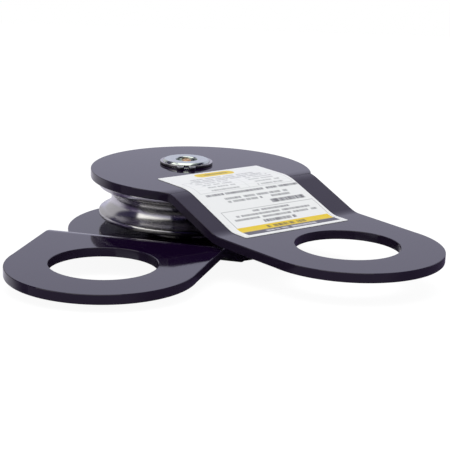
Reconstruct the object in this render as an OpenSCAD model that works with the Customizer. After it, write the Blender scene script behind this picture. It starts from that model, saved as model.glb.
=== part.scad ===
// Swing-cheek single sheave block (snatch block), shown fanned open.
// Two identical joggled cheek plates pivot on one greased axle, one on each
// side of a grooved sheave. Millimetres, +Z up along the axle, origin on the
// axle's axis in the middle plane of the sheave.

/* [Cheek plates] */
// thickness of the cheek plate
plate_t = 5; // [4.5:0.25:5.5]
// distance from the axle to the centre of the shackle eye
eye_dist = 144.5; // [140:0.5:165]
// diameter of the shackle eye
eye_d = 55; // [40:1:60]
// radius of the rounded eye end
eye_end_r = 48.5; // [46:0.5:50]
// how far the eye end's centre lies beyond the eye's centre
eye_end_shift = 2.3; // [0:0.1:4]
// taper of the straight sides, in degrees, widening towards the axle
side_taper = 1.6; // [0.5:0.1:3]
// radius of the round end over the sheave
disk_r = 65; // [64:0.5:68]
// how far the round end's centre lies from the axle, towards the eye
disk_shift = 15.2; // [12:0.2:16]
// distance from the axle to the joggle's first bend
joggle_start = 55.5; // [52:0.5:58]
// distance from the axle to the joggle's second bend
joggle_end = 96; // [90:0.5:100]
// middle radius of the first bend
bend_r = 34; // [20:1:40]
// middle radius of the second bend
eye_bend_r = 24; // [15:1:36]
// half of the gap between the cheeks over the sheave
cheek_gap = 15.5; // [15.5:0.1:16.5]
// half of the gap between the two eyes when the block is closed
eye_gap = 0.8; // [0.5:0.1:1.5]
// swing of the upper cheek's eye about the axle, in degrees from +X
upper_swing = -54.3; // [-60:1:-45]
// swing of the lower cheek's eye about the axle, in degrees from +X
lower_swing = -106.1; // [-125:1:-95]

/* [Sheave] */
// outer radius of the sheave
sheave_r = 52; // [50:0.5:53]
// radius of the sheave at the bottom of the groove
tread_r = 44.5; // [43:0.5:46]
// radius of the groove's bottom, a little over half the rope
groove_r = 7; // [5:0.25:7]
// half of the sheave's thickness at the rim
rim_half = 10.7; // [10.3:0.1:11.5]
// width of the flat land on each flange
land_w = 2.9; // [2.4:0.1:3.2]
// radius of the raised hub
hub_r = 23; // [21:0.5:25]

/* [Axle] */
// diameter of the axle pin
axle_d = 28; // [26:0.5:28]
// half of the axle pin's length
axle_half = 23.5; // [23.5:0.1:25]
// chamfer on the ends of the axle pin
axle_chamfer = 1.1; // [0.5:0.1:1.1]
// outer radius of the bearing bush
bush_r = 17; // [16.5:0.25:18]
// thickness of each thrust washer
washer_t = 1; // [0.8:0.1:1]
// radius of the recess that shelters the grease fitting
recess_r = 6.3; // [6:0.1:7]
// depth of that recess
recess_depth = 4.6; // [4.4:0.1:5]

/* [Retaining rings] */
// thickness of the retaining ring
ring_t = 1.5; // [1.2:0.1:1.5]
// radial width of the ring opposite its lugs
ring_back_w = 3.0; // [2.6:0.1:3.2]
// radial width of the ring next to its lugs
ring_front_w = 1.7; // [1.5:0.1:2]

/* [Label] */
// width of the sticker across the cheek
label_w = 72; // [50:1:74]
// length of the sticker along the cheek
label_l = 83; // [60:1:84]
// thickness of the sticker
label_t = 0.2; // [0.15:0.05:0.2]

/* [Hidden] */

cheek_colour = [0.03, 0.03, 0.04];
ring_colour = [0.62, 0.63, 0.66];
washer_colour = [0.70, 0.55, 0.32];

axle_r = axle_d / 2;
washer_gap = 0.05;
hub_half = cheek_gap - washer_t - 2 * washer_gap;
recess_floor = axle_half - recess_depth;
cut_over = 1; // how far a through cut runs past each face

function reverse(points) = [for (i = [len(points) - 1 : -1 : 0]) points[i]];

// closes a section that is symmetric about its x axis, given its upper half
function mirrored(upper) =
  concat([for (point = reverse(upper)) [point[0], -point[1]]], upper);

// ---------- cheek plates, drawn with the eye towards +X ----------

joggle_angle = atan((cheek_gap - eye_gap) / (joggle_end - joggle_start));
bend_run = bend_r * tan(joggle_angle / 2);
eye_bend_run = eye_bend_r * tan(joggle_angle / 2);
bend_steps = 12;
eye_end_x = eye_dist + eye_end_shift;
eye_end_proud = 0.12; // the eye end's arc stands this proud of the sides
side_start = 40;      // x where the straight sides begin, inside the round end
blank_margin = 5;     // spare sheet around the plate's outline
cheek_bore_r = axle_r + 0.08;

// points along an arc, turned in small even steps
function arc(centre, radius, start, end) =
  [for (i = [0 : bend_steps])
    let (angle = start + (end - start) * i / bend_steps)
    centre + radius * [cos(angle), sin(angle)]];

// side view of a surface that lies `offset_z` above the middle surface of the
// bent plate: x runs from the axle to the eye, y is the height
function bent_line(offset_z, x0, x1) =
  let (disk_mid = cheek_gap + plate_t / 2, eye_mid = eye_gap + plate_t / 2)
  concat(
    [[x0, disk_mid + offset_z]],
    arc([joggle_start - bend_run, disk_mid - bend_r], bend_r + offset_z,
        90, 90 - joggle_angle),
    arc([joggle_end + eye_bend_run, eye_mid + eye_bend_r], eye_bend_r - offset_z,
        270 - joggle_angle, 270),
    [[x1, eye_mid + offset_z]]);

// bent sheet between the surfaces at low and high
module bent_sheet(low, high, x0, x1, width) {
  rotate([90, 0, 0]) linear_extrude(height = width, center = true)
    polygon(concat(bent_line(low, x0, x1), reverse(bent_line(high, x0, x1))));
}

// plan outline: round end over the sheave, tapered sides and eye end
module plate_outline() {
  side_end = eye_end_x + eye_end_r * sin(side_taper);
  end_half_w = eye_end_r * cos(side_taper) - eye_end_proud;
  start_half_w = end_half_w + (side_end - side_start) * tan(side_taper);
  translate([disk_shift, 0]) circle(r = disk_r, $fn = 180);
  translate([eye_end_x, 0]) circle(r = eye_end_r, $fn = 180);
  polygon(mirrored([[side_end, end_half_w], [side_start, start_half_w]]));
}

module cheek() {
  difference() {
    intersection() {
      bent_sheet(-plate_t / 2, plate_t / 2,
                 disk_shift - disk_r - blank_margin,
                 eye_end_x + eye_end_r + blank_margin,
                 2 * (disk_r + blank_margin));
      translate([0, 0, -10]) linear_extrude(height = 50) plate_outline();
    }
    // axle bore and shackle eye: [x, radius]
    for (hole = [[0, cheek_bore_r], [eye_dist, eye_d / 2]])
      translate([hole[0], 0, -5]) cylinder(r = hole[1], h = 40, $fn = 120);
  }
}

module upper_cheek_plate() {
  color(cheek_colour) rotate([0, 0, upper_swing]) cheek();
}

module lower_cheek_plate() {
  color(cheek_colour) rotate([0, 0, lower_swing]) mirror([0, 0, 1]) cheek();
}

// ---------- label ----------

label_lift = 0.05;
label_corner = [25.5, -38.5]; // lowest x and y, in the cheek's own frame
label_corner_r = 1.2;
label_sheet_x = [10, 125];    // ends of the sheet the label is cut from

module label_plan() {
  radius = label_corner_r;
  translate([radius, 0]) square([label_l - 2 * radius, label_w]);
  translate([0, radius]) square([label_l, label_w - 2 * radius]);
  for (x = [radius, label_l - radius], y = [radius, label_w - radius])
    translate([x, y]) circle(r = radius, $fn = 32);
}

// sticker that follows the bends of the upper cheek
module capacity_label() {
  low = plate_t / 2 + label_lift;
  color([0.93, 0.94, 0.93]) rotate([0, 0, upper_swing])
    intersection() {
      bent_sheet(low, low + label_t, label_sheet_x[0], label_sheet_x[1], 2 * disk_r);
      translate([label_corner[0], label_corner[1], -5])
        linear_extrude(height = 40) label_plan();
    }
}

// ---------- sheave and bush ----------

sheave_chamfer = 0.7;
groove_overrun = 4; // how far the flanks are carried past the rim
bush_bore_r = axle_r + 0.05;
bush_chamfer = 0.6;
bush_groove_depth = 1;
bush_groove_mouth = 2.5; // half width at the bore
bush_groove_floor = 2.0; // half width at full depth

// the groove: a round bottom with straight flanks tangent to it
module groove_section() {
  lip_z = rim_half - land_w;
  centre_x = tread_r + groove_r;
  lip_dx = sheave_r - centre_x;
  lip_dist = sqrt(lip_dx * lip_dx + lip_z * lip_z);
  flank_len = sqrt(lip_dist * lip_dist - groove_r * groove_r);
  flank_angle = atan(lip_dx / lip_z) + asin(groove_r / lip_dist);
  along_flank = [sin(flank_angle), cos(flank_angle)];
  lip = [sheave_r, lip_z];
  translate([centre_x, 0]) circle(r = groove_r, $fn = 96);
  polygon(concat(
    mirrored([lip + groove_overrun * along_flank, lip - flank_len * along_flank]),
    [[centre_x, 0]]));
}

module sheave() {
  color([0.72, 0.73, 0.75]) rotate_extrude($fn = 180) difference() {
    polygon(mirrored([
      [sheave_r, rim_half - sheave_chamfer],
      [sheave_r - sheave_chamfer, rim_half],
      [hub_r, rim_half],
      [hub_r, hub_half - sheave_chamfer],
      [hub_r - sheave_chamfer, hub_half],
      [bush_r, hub_half]]));
    groove_section();
  }
}

module sheave_bushing() {
  color([0.72, 0.52, 0.28]) rotate_extrude($fn = 120)
    polygon(mirrored([
      [bush_r, hub_half],
      [bush_bore_r + bush_chamfer, hub_half],
      [bush_bore_r, hub_half - bush_chamfer],
      [bush_bore_r, bush_groove_mouth],
      [bush_bore_r + bush_groove_depth, bush_groove_floor]]));
}

// ---------- axle pin ----------

ring_z = cheek_gap + plate_t + 0.2; // inner face of each retaining ring
ring_groove_r = axle_r - 0.7;
ring_groove_play = 0.05;
recess_flare = 1;
tap_r = 3;
tap_depth = 7;
grease_way_r = 1.5;

module axle_pin() {
  groove_z0 = ring_z - ring_groove_play;
  groove_z1 = ring_z + ring_t + ring_groove_play;
  color([0.70, 0.73, 0.76]) difference() {
    rotate_extrude($fn = 120)
      polygon(mirrored([
        [axle_r, groove_z0], [ring_groove_r, groove_z0],
        [ring_groove_r, groove_z1], [axle_r, groove_z1],
        [axle_r, axle_half - axle_chamfer],
        [axle_r - axle_chamfer, axle_half],
        [0, axle_half]]));
    // recess for the grease fitting and its flared mouth
    translate([0, 0, recess_floor]) cylinder(r = recess_r, h = 20, $fn = 96);
    translate([0, 0, axle_half - recess_flare / 2])
      cylinder(r1 = recess_r, r2 = recess_r + recess_flare, h = recess_flare, $fn = 96);
    // tapped hole
    translate([0, 0, recess_floor - tap_depth]) cylinder(r = tap_r, h = 10, $fn = 64);
    // grease way: down the axis, then out towards -Y
    translate([0, 0, -grease_way_r]) cylinder(r = grease_way_r, h = 20, $fn = 48);
    rotate([90, 0, 0]) cylinder(r = grease_way_r, h = 40, $fn = 48);
    // centre mark left by turning, lower end
    translate([0, 0, -axle_half - 0.01]) cylinder(r1 = 3, r2 = 0.5, h = 2.5, $fn = 64);
  }
}

// ---------- retaining rings and thrust washers ----------

ring_bore_r = axle_r - 0.65;
ring_opening = 3;
lug_x = 3.3;
lug_y = -(axle_r + 2.7);
lug_r = 2.2;
lug_hole_r = 1;
washer_r = hub_r - 1;
washer_bore_r = axle_r + 0.15;

// external retaining ring with two drilled lugs facing -Y
module retaining_ring() {
  back = ring_bore_r + ring_back_w;
  front = ring_bore_r + ring_front_w;
  cut_h = ring_t + 2 * cut_over;
  difference() {
    union() {
      translate([0, (back - front) / 2, 0])
        cylinder(r = (back + front) / 2, h = ring_t, $fn = 120);
      for (side = [-1, 1]) {
        translate([side * lug_x, lug_y, 0]) cylinder(r = lug_r, h = ring_t, $fn = 48);
        translate([side * lug_x - lug_r, lug_y, 0]) cube([2 * lug_r, 6, ring_t]);
      }
    }
    translate([0, 0, -cut_over]) cylinder(r = ring_bore_r, h = cut_h, $fn = 120);
    for (side = [-1, 1])
      translate([side * lug_x, lug_y, -cut_over])
        cylinder(r = lug_hole_r, h = cut_h, $fn = 32);
    translate([-ring_opening / 2, -30, -cut_over]) cube([ring_opening, 28, cut_h]);
  }
}

module upper_retaining_ring() {
  color(ring_colour) translate([0, 0, ring_z]) retaining_ring();
}

module lower_retaining_ring() {
  color(ring_colour) mirror([0, 0, 1]) translate([0, 0, ring_z]) retaining_ring();
}

module thrust_washer() {
  translate([0, 0, hub_half + washer_gap]) difference() {
    cylinder(r = washer_r, h = washer_t, $fn = 96);
    translate([0, 0, -cut_over])
      cylinder(r = washer_bore_r, h = washer_t + 2 * cut_over, $fn = 96);
  }
}

module upper_thrust_washer() {
  color(washer_colour) thrust_washer();
}

module lower_thrust_washer() {
  color(washer_colour) mirror([0, 0, 1]) thrust_washer();
}

// ---------- grease fitting, heights measured from the recess floor ----------

chamber_r = 1.3;
chamber_floor = -5;
inlet_r = 0.7;
neck_r = 2.1;
head_r = 2.9;
hex_r = 4.62; // across the corners, as a radius
hex_h = 1.8;
ball_r = 1;
ball_z = 2.6;
spring_wire_r = 0.16;
spring_r = 0.9; // to the middle of the wire
spring_half_turns = 16;

// each row: bottom z, height, bottom radius, top radius
fitting_outside = [
  [-6, 6.01, tap_r - 0.02, tap_r - 0.02], // shank
  [1.79, 0.82, neck_r, neck_r],
  [2.6, 0.5, neck_r, head_r],
  [3.1, 0.5, head_r, head_r],
  [3.6, 0.6, head_r, 1.5]];
fitting_inside = [
  [3, 3, inlet_r, inlet_r],
  [2.73, 0.6, chamber_r, inlet_r], // ball seat
  [chamber_floor, 7.74, chamber_r, chamber_r],
  [-7, 3, 0.8, 0.8]];              // outlet

module turned_steps(steps, facets) {
  for (step = steps)
    translate([0, 0, step[0]])
      cylinder(h = step[1], r1 = step[2], r2 = step[3], $fn = facets);
}

module grease_fitting_body() {
  color([0.78, 0.46, 0.26]) translate([0, 0, recess_floor]) difference() {
    union() {
      turned_steps(fitting_outside, 64);
      // hexagon with its upper corners turned off
      intersection() {
        cylinder(r = hex_r, h = hex_h, $fn = 6);
        cylinder(r1 = 5.6, r2 = 4.3, h = hex_h, $fn = 64);
      }
    }
    turned_steps(fitting_inside, 48);
  }
}

module grease_fitting_ball() {
  color([0.80, 0.80, 0.82]) translate([0, 0, recess_floor + ball_z])
    sphere(r = ball_r, $fn = 48);
}

// compression spring standing on the chamber's floor, carrying the ball:
// half-turns of round wire, tilted one way and then the other
module grease_fitting_spring() {
  bottom = chamber_floor + 0.02 + spring_wire_r;
  top = ball_z - 0.62 - spring_wire_r;
  rise = (top - bottom) / spring_half_turns;
  tilt = asin(rise / (2 * spring_r));
  color([0.55, 0.56, 0.58])
    for (i = [0 : spring_half_turns - 1])
      translate([0, 0, recess_floor + bottom + (i + 0.5) * rise])
        rotate([0, i % 2 == 0 ? tilt : -tilt, 0])
          rotate([0, 0, i % 2 == 0 ? 0 : 180])
            rotate_extrude(angle = 180, $fn = 48)
              translate([spring_r, 0]) circle(r = spring_wire_r, $fn = 16);
}

upper_cheek_plate();
lower_cheek_plate();
sheave();
sheave_bushing();
axle_pin();
upper_retaining_ring();
lower_retaining_ring();
upper_thrust_washer();
lower_thrust_washer();
grease_fitting_body();
grease_fitting_ball();
grease_fitting_spring();
capacity_label();
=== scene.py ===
# A pulley block with two swinging cheek plates, a grease fitting and a printed label.
# The axle lies along Z through the origin, and the upper plate is swung about it.
# The floor is tilted to touch the block, and the camera looks from -Y.
import math

import bpy
from mathutils import Matrix, Quaternion, Vector


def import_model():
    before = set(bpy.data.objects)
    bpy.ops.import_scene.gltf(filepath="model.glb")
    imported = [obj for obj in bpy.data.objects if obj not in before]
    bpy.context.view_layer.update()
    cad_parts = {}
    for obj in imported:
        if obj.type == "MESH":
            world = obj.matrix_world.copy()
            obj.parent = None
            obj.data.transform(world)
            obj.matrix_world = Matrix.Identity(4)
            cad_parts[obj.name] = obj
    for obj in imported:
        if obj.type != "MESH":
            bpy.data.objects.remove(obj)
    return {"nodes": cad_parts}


MM = 0.001
DEGREES = 180 / math.pi
UPPER_SWING = math.radians(-54.3)   # of the upper cheek plate and its label

FLOOR_SIZE = 8.0
FLOOR_TILT = math.radians(4.6)
FLOOR_SHIFT = -0.014                # along Y, before the tilt
FLOOR_Z = -0.0237

CAMERA_DISTANCE = 0.767863
CAMERA_HEIGHT = math.radians(13.8665)               # above the horizon
CAMERA_TURN = (1.2543185, -1.7988210, 1.4542731)    # off the origin, rotation vector, degrees
CAMERA_LENS = 101.50856                             # mm

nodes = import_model()["nodes"]
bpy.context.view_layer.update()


# ---------------------------------------------------------------- node maths
class Net:
    """A node tree written as plain sums. Node kinds leave out "ShaderNode"."""

    def __init__(self, tree):
        self.tree = tree
        tree.nodes.clear()

    def node(self, kind, inputs=None, **props):
        made = self.tree.nodes.new("ShaderNode" + kind)
        for key, value in props.items():
            setattr(made, key, value)
        for key, value in (inputs or {}).items():
            self.feed(made.inputs[key], value)
        return made

    def feed(self, socket, value):
        """Link or set an input. None leaves it alone, and colours get an alpha of 1."""
        if isinstance(value, Val):
            value = value.socket
        if isinstance(value, bpy.types.NodeSocket):
            self.tree.links.new(value, socket)
        elif value is not None:
            if socket.type == "RGBA":
                value = (*value, 1)
            socket.default_value = value

    def math(self, op, *args, clamp=False):
        made = self.node("Math", dict(enumerate(args)), operation=op, use_clamp=clamp)
        return Val(self, made.outputs[0])

    def degrees(self, op, *args):
        return self.math(op, *args) * DEGREES

    def split(self, vector):
        outputs = self.node("SeparateXYZ", {0: vector}).outputs
        return [Val(self, outputs[i]) for i in range(3)]

    def vec(self, x, y, z):
        return self.node("CombineXYZ", {0: x, 1: y, 2: z}).outputs[0]

    def scaled(self, vector, scale):
        return self.node("VectorMath", {0: vector, "Scale": scale}, operation="SCALE").outputs[0]

    def geometry(self, name):
        return self.node("NewGeometry").outputs[name]

    def noise(self, vector, scale, detail=2.0, rough=0.5):
        made = self.node("TexNoise", {"Vector": vector, "Scale": scale,
                                      "Detail": detail, "Roughness": rough})
        return Val(self, made.outputs["Fac"])

    def noise1(self, w):
        made = self.node("TexNoise", {"W": w, "Scale": 1.0, "Detail": 0.0},
                         noise_dimensions="1D")
        return Val(self, made.outputs["Fac"])

    def mix(self, fac, a, b):
        return self.node("Mix", {0: fac, 6: a, 7: b}, data_type="RGBA").outputs[2]

    def paint(self, colour, *coats):
        """Lay (mask, colour) coats over a colour, first to last."""
        for mask, coat in coats:
            colour = self.mix(mask, colour, coat)
        return colour

    def step(self, x, lo, hi):
        """0 below lo and 1 above hi, smooth between."""
        made = self.node("MapRange", {0: x, 1: lo, 2: hi, 3: 0.0, 4: 1.0},
                         interpolation_type="SMOOTHSTEP")
        return Val(self, made.outputs[0])

    def span(self, x, lo, hi, soft):
        """1 where lo < x < hi, falling off over soft."""
        return self.step(x, lo - soft, lo + soft) * (1 - self.step(x, hi - soft, hi + soft))

    def bump(self, height, strength, distance, normal=None):
        return self.node("Bump", {"Height": height, "Strength": strength,
                                  "Distance": distance, "Normal": normal}).outputs[0]

    def principled(self, colour, rough, normal, **others):
        bsdf = self.node("BsdfPrincipled", {"Base Color": colour, "Roughness": rough,
                                            "Normal": normal, **others})
        self.node("OutputMaterial", {0: bsdf.outputs[0]})


class Val:
    """A float socket that takes part in Python sums."""

    def __init__(self, net, socket):
        self.net, self.socket = net, socket

    def __add__(self, o): return self.net.math("ADD", self, o)
    def __sub__(self, o): return self.net.math("SUBTRACT", self, o)
    def __rsub__(self, o): return self.net.math("SUBTRACT", o, self)
    def __mul__(self, o): return self.net.math("MULTIPLY", self, o)
    __radd__ = __add__
    __rmul__ = __mul__
    def max(self, o): return self.net.math("MAXIMUM", self, o)
    def abs(self): return self.net.math("ABSOLUTE", self)
    def sqrt(self): return self.net.math("SQRT", self)
    def clamp(self): return self.net.math("ADD", self, 0.0, clamp=True)


def material(name):
    """A new material, its net, and object coordinates in metres."""
    mat = bpy.data.materials.new(name)
    mat.use_nodes = True
    net = Net(mat.node_tree)
    return mat, net, net.node("TexCoord").outputs["Object"]


def radius_and_z(net, obj):
    """Distance from the axle, and height along it, in mm."""
    x, y, z = (axis * 1000.0 for axis in net.split(obj))
    return (x * x + y * y).sqrt(), z


def edge_mask(net, radius, hi=0.25):
    """1 on sharp outer edges: how far the rounded normal turns from the true one."""
    rounded = net.node("Bevel", {"Radius": radius}, samples=6)
    dot = net.node("VectorMath", {0: rounded.outputs[0], 1: net.geometry("Normal")},
                   operation="DOT_PRODUCT")
    return net.step(1 - Val(net, dot.outputs["Value"]), 0.02, hi)


def wall_mask(net, lo, hi):
    """1 on faces that stand along Z."""
    return 1 - net.step(net.split(net.geometry("Normal"))[2].abs(), lo, hi)


# ---------------------------------------------------------------- materials
# Noise scales are per metre on object coordinates, per mm on radius and z. In the sums
# below, each factor is how much its mask or noise adds to the roughness or height.
def black_coat():
    mat, net, obj = material("gloss_black_powder_coat")
    cloud = net.noise(obj, scale=38.0, detail=3.0)
    peel = net.noise(obj, scale=520.0, detail=1.5, rough=0.45)
    fine = net.noise(obj, scale=1900.0)
    edge = edge_mask(net, radius=0.0008, hi=0.22)
    chips = edge * net.step(net.noise(obj, scale=260.0, detail=3.0, rough=0.6), lo=0.66, hi=0.72)
    dust = net.step(net.noise(obj, scale=1400.0, detail=1.0), lo=0.735, hi=0.78) * 0.35
    colour = net.paint(
        net.mix(cloud, (0.0050, 0.0012, 0.0120), (0.0075, 0.0022, 0.0155)),
        # painted sheen: the side walls get a lighter colour than the flat faces
        (wall_mask(net, lo=0.15, hi=0.5), (0.0165, 0.0110, 0.0250)),
        # painted highlight: a lighter line along the sharp edges
        (edge * 0.6, (0.060, 0.055, 0.075)),
        (dust, (0.05, 0.047, 0.06)),
        (chips, (0.16, 0.155, 0.16)))
    rough = 0.035 + cloud * 0.02 + fine * 0.025 + edge * 0.05 + chips * 0.25 + dust * 0.2
    height = peel * 0.8 + fine * 0.12 - chips * 0.5
    net.principled(colour, rough, net.bump(height, strength=0.06, distance=0.00005), IOR=1.42)
    return mat


def turned_metal(name, dark, bright, edge_wear_and_highlight, rough, pitch, relief, dirt=0.12, aniso=0.5,
                 lip=None):
    """Lathe-turned metal: rings about the axle, stains, and lighter edges that are rubbed wear
    and a painted highlight.

    pitch is the ring spacing in mm, and lip the radius in m of edges shaded round.
    """
    mat, net, obj = material(name)
    radius, z = radius_and_z(net, obj)
    # the constant third coordinates keep the patterns apart
    rings = net.noise(net.vec(radius, z, 0.0), scale=1.0 / pitch, detail=3.0, rough=0.6)
    broad = net.noise(net.vec(radius, z, 7.0), scale=0.16 / pitch)
    streak = net.noise(net.vec(radius * 3.0, z * 3.0, 3.0), scale=1.1, detail=3.0)
    cloud = net.noise(obj, scale=60.0, detail=4.0, rough=0.55)
    pits = net.step(net.noise(obj, scale=900.0), lo=0.70, hi=0.78)
    edge = edge_mask(net, radius=0.0006)
    colour = net.paint(
        net.mix((streak * 0.7 + cloud * 0.5 - 0.1).clamp(), dark, bright),
        (pits * dirt, (0.12, 0.11, 0.12)),
        # lighter edges: rubbed wear and a painted highlight
        (edge * 0.6, edge_wear_and_highlight))
    rounded = lip and net.node("Bevel", {"Radius": lip}, samples=8).outputs[0]
    net.principled(
        colour,
        rough + rings * 0.10 + (cloud - 0.5) * 0.12 + pits * 0.15 - edge * 0.06,
        net.bump(rings * 0.7 + broad * 0.6 - pits * 0.2, strength=relief, distance=0.00003,
                 normal=rounded),
        Metallic=1.0, Anisotropic=aniso, **{"Anisotropic Rotation": 0.25},
        Tangent=net.node("Tangent", direction_type="RADIAL", axis="Z").outputs[0])
    return mat


def stamped_ring():
    mat, net, obj = material("retaining_ring_steel")
    cloud = net.noise(obj, scale=180.0, detail=4.0, rough=0.6)
    grain = net.noise(obj, scale=2600.0)
    edge = edge_mask(net, radius=0.0004)
    y = net.split(obj)[1] * 1000.0
    colour = net.paint(
        net.mix(cloud, (0.38, 0.37, 0.38), (0.62, 0.61, 0.61)),
        (net.step(y * -1.0, lo=15.2, hi=16.4) * 0.75, (0.10, 0.11, 0.13)),   # painted shade: the -Y end is darker
        # painted shade: the side walls are darker than the flat faces
        (wall_mask(net, lo=0.10, hi=0.45) * 0.85, (0.07, 0.065, 0.08)),
        # lighter edges: rubbed wear and a painted highlight
        (edge * 0.5, (0.80, 0.79, 0.80)))
    net.principled(colour, 0.26 + cloud * 0.14 + grain * 0.06 - edge * 0.08,
                   net.bump(grain * 0.4 + cloud * 0.6, strength=0.18, distance=0.00004),
                   Metallic=1.0)
    return mat


def copper_fitting():
    mat, net, obj = material("grease_fitting_copper_plate")
    radius, z = radius_and_z(net, obj)
    cloud = net.noise(obj, scale=420.0, detail=4.0, rough=0.6)
    rings = net.noise(net.vec(radius, z, 1.0), scale=9.0)
    edge = edge_mask(net, radius=0.0003)
    # painted shade: beyond about 3 mm from the axle, the hex base down in the recess gets a dark
    # grey
    recess_shade = (net.step(radius, lo=2.95, hi=3.25)
              * (0.55 + net.step(cloud, lo=0.45, hi=0.6) * 0.35))
    colour = net.paint(
        net.mix(net.step(cloud, lo=0.38, hi=0.62), (0.45, 0.20, 0.06), (1.0, 0.72, 0.35)),
        # lighter edges: rubbed wear and a painted highlight
        (edge * 0.5, (1.0, 0.84, 0.58)),
        (recess_shade, (0.12, 0.14, 0.15)))
    net.principled(colour, 0.10 + cloud * 0.12 + rings * 0.05,
                   net.bump(rings, strength=0.2, distance=0.00003), Metallic=1.0)
    return mat


def polished_steel(name, dark, bright, rough):
    mat, net, obj = material(name)
    cloud = net.noise(obj, scale=700.0, detail=3.0, rough=0.55)
    # scratches: noise drawn out along X
    stretched = net.node("Mapping", {"Vector": obj, "Scale": (400.0, 5200.0, 2600.0)})
    scratch = net.noise(stretched.outputs[0], scale=1.0)
    net.principled(net.mix(cloud, dark, bright), rough + cloud * 0.08 + scratch * 0.06,
                   net.bump(scratch, strength=0.08, distance=0.00001), Metallic=1.0)
    return mat


# On the label u runs from the axle towards the eye and v across it, both in mm.
BAND_V = (-33.9, 30.4)
BAND_U = (94.2, 99.8, 105.2)         # the yellow band, then the grey one
LOZENGE_U = 31.7
# Rows of bars, as (darkness, gap threshold, rows of (centre u, height, from v, to v))
BAR_ROWS = (
    (0.55, 0.31, (
        (39.0, 1.7, -25.0, 20.0), (42.2, 1.7, -27.0, 24.0), (45.4, 1.7, -30.0, 25.0),
        (48.8, 1.5, 6.5, 25.5), (48.8, 1.5, -28.5, -6.0), (52.4, 1.5, 6.0, 24.0),
        (52.4, 1.5, -26.5, -5.5), (56.0, 1.5, 8.0, 26.0), (56.0, 1.5, -25.0, -6.0),
        (59.6, 1.5, 7.5, 26.0), (59.6, 1.5, -25.0, -5.5))),
    (0.74, 0.32, (
        (68.5, 1.8, -22.5, 22.0), (71.4, 1.8, 8.0, 21.5), (71.4, 1.8, -22.5, 1.5),
        (81.8, 1.6, -13.5, 12.5), (84.8, 1.6, -27.0, 25.5), (87.8, 1.6, -30.0, 28.0))),
    (0.86, 0.29, ((64.0, 1.9, -32.0, 33.0), (91.4, 2.3, -12.8, 9.8))),
)


def printed_label():
    """White vinyl with ruled boxes, coloured bands and rows of bars, with no lettering."""
    mat, net, obj = material("printed_vinyl_label")
    turned = net.node("VectorRotate", {"Vector": obj, "Angle": -UPPER_SWING},
                      rotation_type="Z_AXIS")
    u, v = (axis * 1000.0 for axis in net.split(turned.outputs[0])[:2])

    def box(u0, u1, v0, v1, soft=0.10):
        return net.span(u, u0, u1, soft) * net.span(v, v0, v1, soft)

    def bars(centre, size, v0, v1, seed, gap, word=0.32):
        """A row of bars of uneven length; word is how many noise cells there are per mm."""
        row = box(centre - size / 2, centre + size / 2, v0, v1, soft=0.08)
        words = net.step(net.noise1(v * word + seed), gap, gap + 0.03)
        strokes = net.step(net.noise1(v * (3.0 / size) + seed * 3.1), lo=0.40, hi=0.50)
        return row * words * (0.35 + 0.65 * strokes)

    def outline(u0, u1, v0, v1, width):
        return (box(u0, u1, v0, v1, soft=0.05)
                - box(u0 + width, u1 - width, v0 + width, v1 - width, soft=0.05)).clamp()

    fibre = net.noise(obj, scale=900.0, detail=3.0)
    tone = net.noise(obj, scale=30.0, detail=3.0)
    paper = net.mix(tone, (0.76, 0.775, 0.765), (0.81, 0.82, 0.815))
    yellow = net.mix(tone, (0.70, 0.50, 0.0), (0.76, 0.55, 0.004))

    ink = None
    for dark, gap, rows in BAR_ROWS:
        for i, (centre, size, v0, v1) in enumerate(rows):
            piece = bars(centre, size, v0, v1, seed=centre * 1.37 + i, gap=gap) * dark
            ink = piece if ink is None else ink.max(piece)
    ink = ink.max(bars(75.8, 3.2, 4.5, 28.5, seed=4.2, gap=0.10, word=0.2) * 0.92)

    # ruled boxes and the lines inside the first, each times its darkness
    rule = outline(43.4, 61.6, -34.2, 31.8, width=0.35) * 0.36
    rule = rule.max(box(47.0, 61.6, 0.4, 0.75, soft=0.05) * 0.30)
    for line_u in (50.6, 54.2, 57.8):
        rule = rule.max(box(line_u, line_u + 0.25, -34.0, 31.6, soft=0.05) * 0.16)
    rule = rule.max(outline(79.4, 100.0, -33.6, 31.6, width=0.4) * 0.62)
    ink = ink.max(rule)

    # yellow lozenge near the axle: all within a radius of a line 19.2 mm long
    along = (v + 2.6).abs() - 9.6
    across = (u - LOZENGE_U).abs()
    reach = (along.max(0.0) * along.max(0.0) + across * across).sqrt()
    lozenge = 1 - net.step(reach, lo=3.75, hi=3.95)

    # handling marks along the sticker's border
    border = 1 - box(25.6, 106.4, -36.6, 33.2, soft=0.8)
    grime = border * net.step(net.noise(obj, scale=240.0, detail=4.0, rough=0.6),
                              lo=0.50, hi=0.66)
    colour = net.paint(
        paper,
        (ink, (0.10, 0.10, 0.115)),
        (lozenge, yellow),
        (bars(LOZENGE_U, 2.6, -12.5, 6.5, seed=9.1, gap=0.28) * 0.75, (0.12, 0.10, 0.05)),
        (box(*BAND_U[:2], *BAND_V), yellow),
        (bars(97.0, 2.9, -15.0, 12.0, seed=2.3, gap=0.34, word=0.24) * 0.82,
         (0.07, 0.055, 0.03)),
        (box(*BAND_U[1:], *BAND_V), (0.085, 0.082, 0.115)),
        (bars(102.5, 2.4, -20.0, 15.0, seed=6.7, gap=0.36) * 0.75, (0.66, 0.66, 0.69)),
        (grime * 0.22, (0.42, 0.41, 0.42)))
    height = fibre * 0.3 + net.noise(obj, scale=140.0) * 0.9
    net.principled(colour, 0.34 + fibre * 0.10 + tone * 0.05 - ink * 0.05,
                   net.bump(height, strength=0.10, distance=0.00005), IOR=1.46)
    return mat


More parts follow.
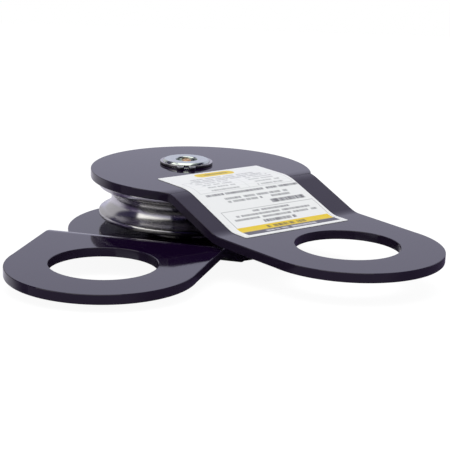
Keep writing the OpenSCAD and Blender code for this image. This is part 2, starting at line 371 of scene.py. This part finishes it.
mats = {
    "black_coat": black_coat(),
    "turned_steel": turned_metal(
        "turned_steel", dark=(0.45, 0.445, 0.45), bright=(0.58, 0.57, 0.575),
        edge_wear_and_highlight=(0.86, 0.86, 0.87), rough=0.15, pitch=0.55, relief=0.05, dirt=0.10,
        aniso=0.85, lip=0.0009),
    "zinc_plate": turned_metal(
        "zinc_plated_pin", dark=(0.46, 0.52, 0.50), bright=(0.72, 0.77, 0.72),
        edge_wear_and_highlight=(0.90, 0.91, 0.92), rough=0.16, pitch=0.22, relief=0.16, dirt=0.2, aniso=0.3),
    "bronze": turned_metal(
        "bearing_bronze", dark=(0.42, 0.26, 0.12), bright=(0.62, 0.42, 0.20),
        edge_wear_and_highlight=(0.82, 0.62, 0.36), rough=0.24, pitch=0.26, relief=0.2),
    "ring_steel": stamped_ring(),
    "copper_brass": copper_fitting(),
    "ball_steel": polished_steel("bearing_ball_steel", dark=(0.62, 0.62, 0.64),
                                 bright=(0.76, 0.76, 0.78), rough=0.06),
    "spring_steel": polished_steel("drawn_spring_wire", dark=(0.30, 0.30, 0.33),
                                   bright=(0.48, 0.48, 0.50), rough=0.22),
    "label_film": printed_label(),
}

# ---------------------------------------------------------------- pieces
# Material slot, then the width in mm of the broken edges and the segments across them
PIECES = {
    "upper_cheek_plate": ("black_coat", 0.45, 3),
    "lower_cheek_plate": ("black_coat", 0.45, 3),
    "sheave": ("turned_steel", 0.25, 2),
    "sheave_bushing": ("bronze", 0.12, 2),
    "axle_pin": ("zinc_plate", 0.18, 2),
    "upper_retaining_ring": ("ring_steel", 0.14, 2),
    "lower_retaining_ring": ("ring_steel", 0.14, 2),
    "upper_thrust_washer": ("bronze", 0.12, 2),
    "lower_thrust_washer": ("bronze", 0.12, 2),
    "grease_fitting_body": ("copper_brass", 0.10, 2),
    "grease_fitting_ball": ("ball_steel", None, None),
    "grease_fitting_spring": ("spring_steel", None, None),
    "capacity_label": ("label_film", None, None),
}


def break_edges(ob, width, segments):
    bevel = ob.modifiers.new("broken_edges", "BEVEL")
    bevel.width = width * MM
    bevel.segments = segments
    bevel.limit_method = "ANGLE"
    bevel.angle_limit = math.radians(32)
    bevel.use_clamp_overlap = False
    bevel.miter_outer = "MITER_ARC"
    if ob_name.endswith("cheek_plate"):
        # the bends are made of small flat steps, so they are shaded as one curve
        even = ob.modifiers.new("even_shading", "WEIGHTED_NORMAL")
        even.mode = "FACE_AREA"
        even.weight = 50
        even.keep_sharp = True
    else:
        bevel.harden_normals = True


for ob_name, ob in nodes.items():
    slot, edge_width, edge_segments = PIECES[ob_name]
    ob.data.materials.clear()
    ob.data.materials.append(mats[slot])
    ob.modifiers.new("join_faces", "WELD").merge_threshold = 2e-6
    if edge_width:
        break_edges(ob, edge_width, edge_segments)


# ---------------------------------------------------------------- stage
def box_sides(x, y):
    """How far inside the soft box's right and left sides a direction lies."""
    return (x * 0.98 - y * 0.19) * -1.0 - 0.185, x * 0.788 - y * 0.616 + 0.598


def floor_material():
    mat, net, obj = material("pale_floor")
    path = net.node("LightPath")
    tone = net.noise(obj, scale=3.0)
    # the camera sees a nearly white glow that still takes a faint shadow
    diffuse = net.node("BsdfDiffuse", {"Color": (0.13, 0.13, 0.13)})
    glow = net.node("Emission", {"Color": (1.0, 1.0, 1.0), "Strength": 0.932 - tone * 0.005})
    seen = net.node("AddShader", {0: diffuse.outputs[0], 1: glow.outputs[0]})

    # in reflections the floor's colour is painted light behind and under the soft box, and
    # painted dark elsewhere
    x, y = (axis * -1.0 for axis in net.split(net.geometry("Incoming"))[:2])
    right_in, left_in = box_sides(x, y)
    under_box = net.step(right_in, lo=-0.03, hi=0.03) * net.step(left_in, lo=-0.05, hi=0.05)
    azimuth = net.degrees("ARCTAN2", y, x)
    spot_x, spot_y, _ = net.split(net.geometry("Position"))
    away = net.step((spot_x * spot_x + spot_y * spot_y).sqrt(), lo=0.12, hi=0.18)
    far = net.mix(net.step(azimuth, lo=-60.0, hi=-25.0), (0.26, 0.22, 0.32), (0.10, 0.08, 0.14))
    mirrored = net.paint(
        net.mix(under_box, (0.075, 0.055, 0.12), (0.74, 0.76, 0.86)),
        (away, far),
        (net.span(azimuth, lo=78.0, hi=158.0, soft=14.0), (0.70, 0.68, 0.77)))
    unseen = net.node("BsdfDiffuse", {
        "Color": net.mix(path.outputs["Is Glossy Ray"], (0.36, 0.36, 0.38), mirrored)})
    top = net.node("MixShader", {0: path.outputs["Is Camera Ray"],
                                 1: unseen.outputs[0], 2: seen.outputs[0]})
    # seen from below the floor is clear, so the underside can be looked at
    clear = net.node("MixShader", {0: net.geometry("Backfacing"), 1: top.outputs[0],
                                   2: net.node("BsdfTransparent").outputs[0]})
    net.node("OutputMaterial", {0: clear.outputs[0]})
    return mat


def add_floor():
    """The block leans on its axle's lower end and its lower eye's rim; the floor meets both."""
    bpy.ops.mesh.primitive_plane_add(size=FLOOR_SIZE)
    floor = bpy.context.object
    floor.name = "studio_floor"
    place = Matrix.Translation((0, FLOOR_SHIFT * math.cos(FLOOR_TILT), FLOOR_Z))
    floor.matrix_world = place @ Matrix.Rotation(-FLOOR_TILT, 4, "X")
    floor.data.materials.append(floor_material())


# ---------------------------------------------------------------- light
def add_world():
    """White to the camera, a soft fill for matt surfaces, and a studio in reflections.

    The studio has a tall soft box at camera left that reaches up and over to the middle,
    an unlit wall to the left of it, an unlit front and ceiling to the right of it, and
    a pale blue-grey back wall.
    """
    world = bpy.data.worlds.new("studio")
    bpy.context.scene.world = world
    world.use_nodes = True
    net = Net(world.node_tree)
    path = net.node("LightPath")
    x, y, z = net.split(net.node("TexCoord").outputs["Generated"])
    azimuth = net.degrees("ARCTAN2", y, x)
    elevation = net.degrees("ARCSINE", z)
    over = net.degrees("ARCTAN2", z, y * -1.0)   # about X, from the front horizon
    wall = x * 0.469 - y * 0.883                 # falls on the way round to the back wall
    right_in, left_in = box_sides(x, y)
    in_right = net.step(right_in, lo=-0.02, hi=0.02)
    in_left = net.step(left_in, lo=-0.03, hi=0.03)
    high = net.step(elevation, lo=53.0, hi=60.0)

    fill_level = 0.74 + net.step(elevation, lo=38.0, hi=75.0) * 0.62
    fill = net.scaled((0.985, 0.985, 1.0), fill_level)
    back_level = ((0.85 + net.step(elevation, lo=12.0, hi=19.5) * 0.15)
                  * (0.88 + net.step(azimuth, lo=66.0, hi=84.0) * 0.12))
    back = net.scaled((0.80, 0.795, 0.98), back_level)

    box_mask = (in_right * in_left * net.span(over, lo=25.0, hi=112.0, soft=6.0) * (1 - high)
                + net.span(x, lo=-0.40, hi=0.28, soft=0.04)
                * (1 - net.step(over, lo=106.0, hi=118.0)) * high)
    left_mask = ((1 - in_left) * net.step(wall, lo=-0.90, hi=-0.82)
                 * net.span(over, lo=8.0, hi=145.0, soft=6.0))
    dim_mask = ((1 - in_right) * (1 - net.step(over, lo=116.0, hi=130.0))
                * net.step(z, lo=-0.05, hi=0.02))
    box_level = 0.52 + net.step(right_in, lo=0.06, hi=0.36) * 0.48
    box_level = box_level + (1 - box_level) * high
    studio = net.paint(
        back,
        (net.step(azimuth, lo=102.0, hi=110.0), (0.60, 0.59, 0.62)),
        (left_mask, (0.045, 0.038, 0.085)),
        (dim_mask, net.mix(high, (0.012, 0.008, 0.040), (0.26, 0.28, 0.29))),
        (box_mask, net.scaled((2.0, 1.98, 1.86), box_level)))
    light = net.paint(fill, (path.outputs["Is Glossy Ray"], studio),
                      (path.outputs["Is Camera Ray"], (1.0, 1.0, 1.0)))
    background = net.node("Background", {"Color": light, "Strength": 1.0})
    net.node("OutputWorld", {0: background.outputs[0]})


def add_object(name, data):
    ob = bpy.data.objects.new(name, data)
    bpy.context.scene.collection.objects.link(ob)
    return ob


def add_overhead_light():
    place, target = Vector((0.05, -0.10, 1.3)), Vector((0.02, -0.05, 0))
    light = bpy.data.lights.new("overhead_soft_box", "AREA")
    light.shape = "RECTANGLE"
    light.size = light.size_y = 1.1
    light.energy = 4.0
    ob = add_object("overhead_soft_box", light)
    ob.location = place
    ob.visible_glossy = False
    ob.rotation_mode = "QUATERNION"
    ob.rotation_quaternion = (target - place).to_track_quat("-Z", "Y")


def add_camera():
    place = Vector((0, -CAMERA_DISTANCE * math.cos(CAMERA_HEIGHT),
                    CAMERA_DISTANCE * math.sin(CAMERA_HEIGHT)))
    forward = (-place).normalized()
    right = forward.cross(Vector((0, 0, 1))).normalized()
    up = right.cross(forward)
    # the turn is given in right, down and forward axes
    turn = Vector(CAMERA_TURN) * (math.pi / 180)
    turn_matrix = Quaternion(turn.normalized(), turn.length).to_matrix()
    axes = turn_matrix @ Matrix((right, -up, forward))
    facing = Matrix((axes[0], -axes[1], -axes[2])).transposed()

    data = bpy.data.cameras.new("view")
    data.sensor_fit = "HORIZONTAL"
    data.sensor_width = 36.0
    data.lens = CAMERA_LENS
    data.clip_start = 0.01
    data.clip_end = 50
    camera = add_object("view", data)
    camera.matrix_world = Matrix.Translation(place) @ facing.to_4x4()
    bpy.context.scene.camera = camera


add_floor()
add_world()
add_overhead_light()
add_camera()
bpy.context.scene.view_settings.view_transform = "Standard"
bpy.context.scene.view_settings.look = "None"
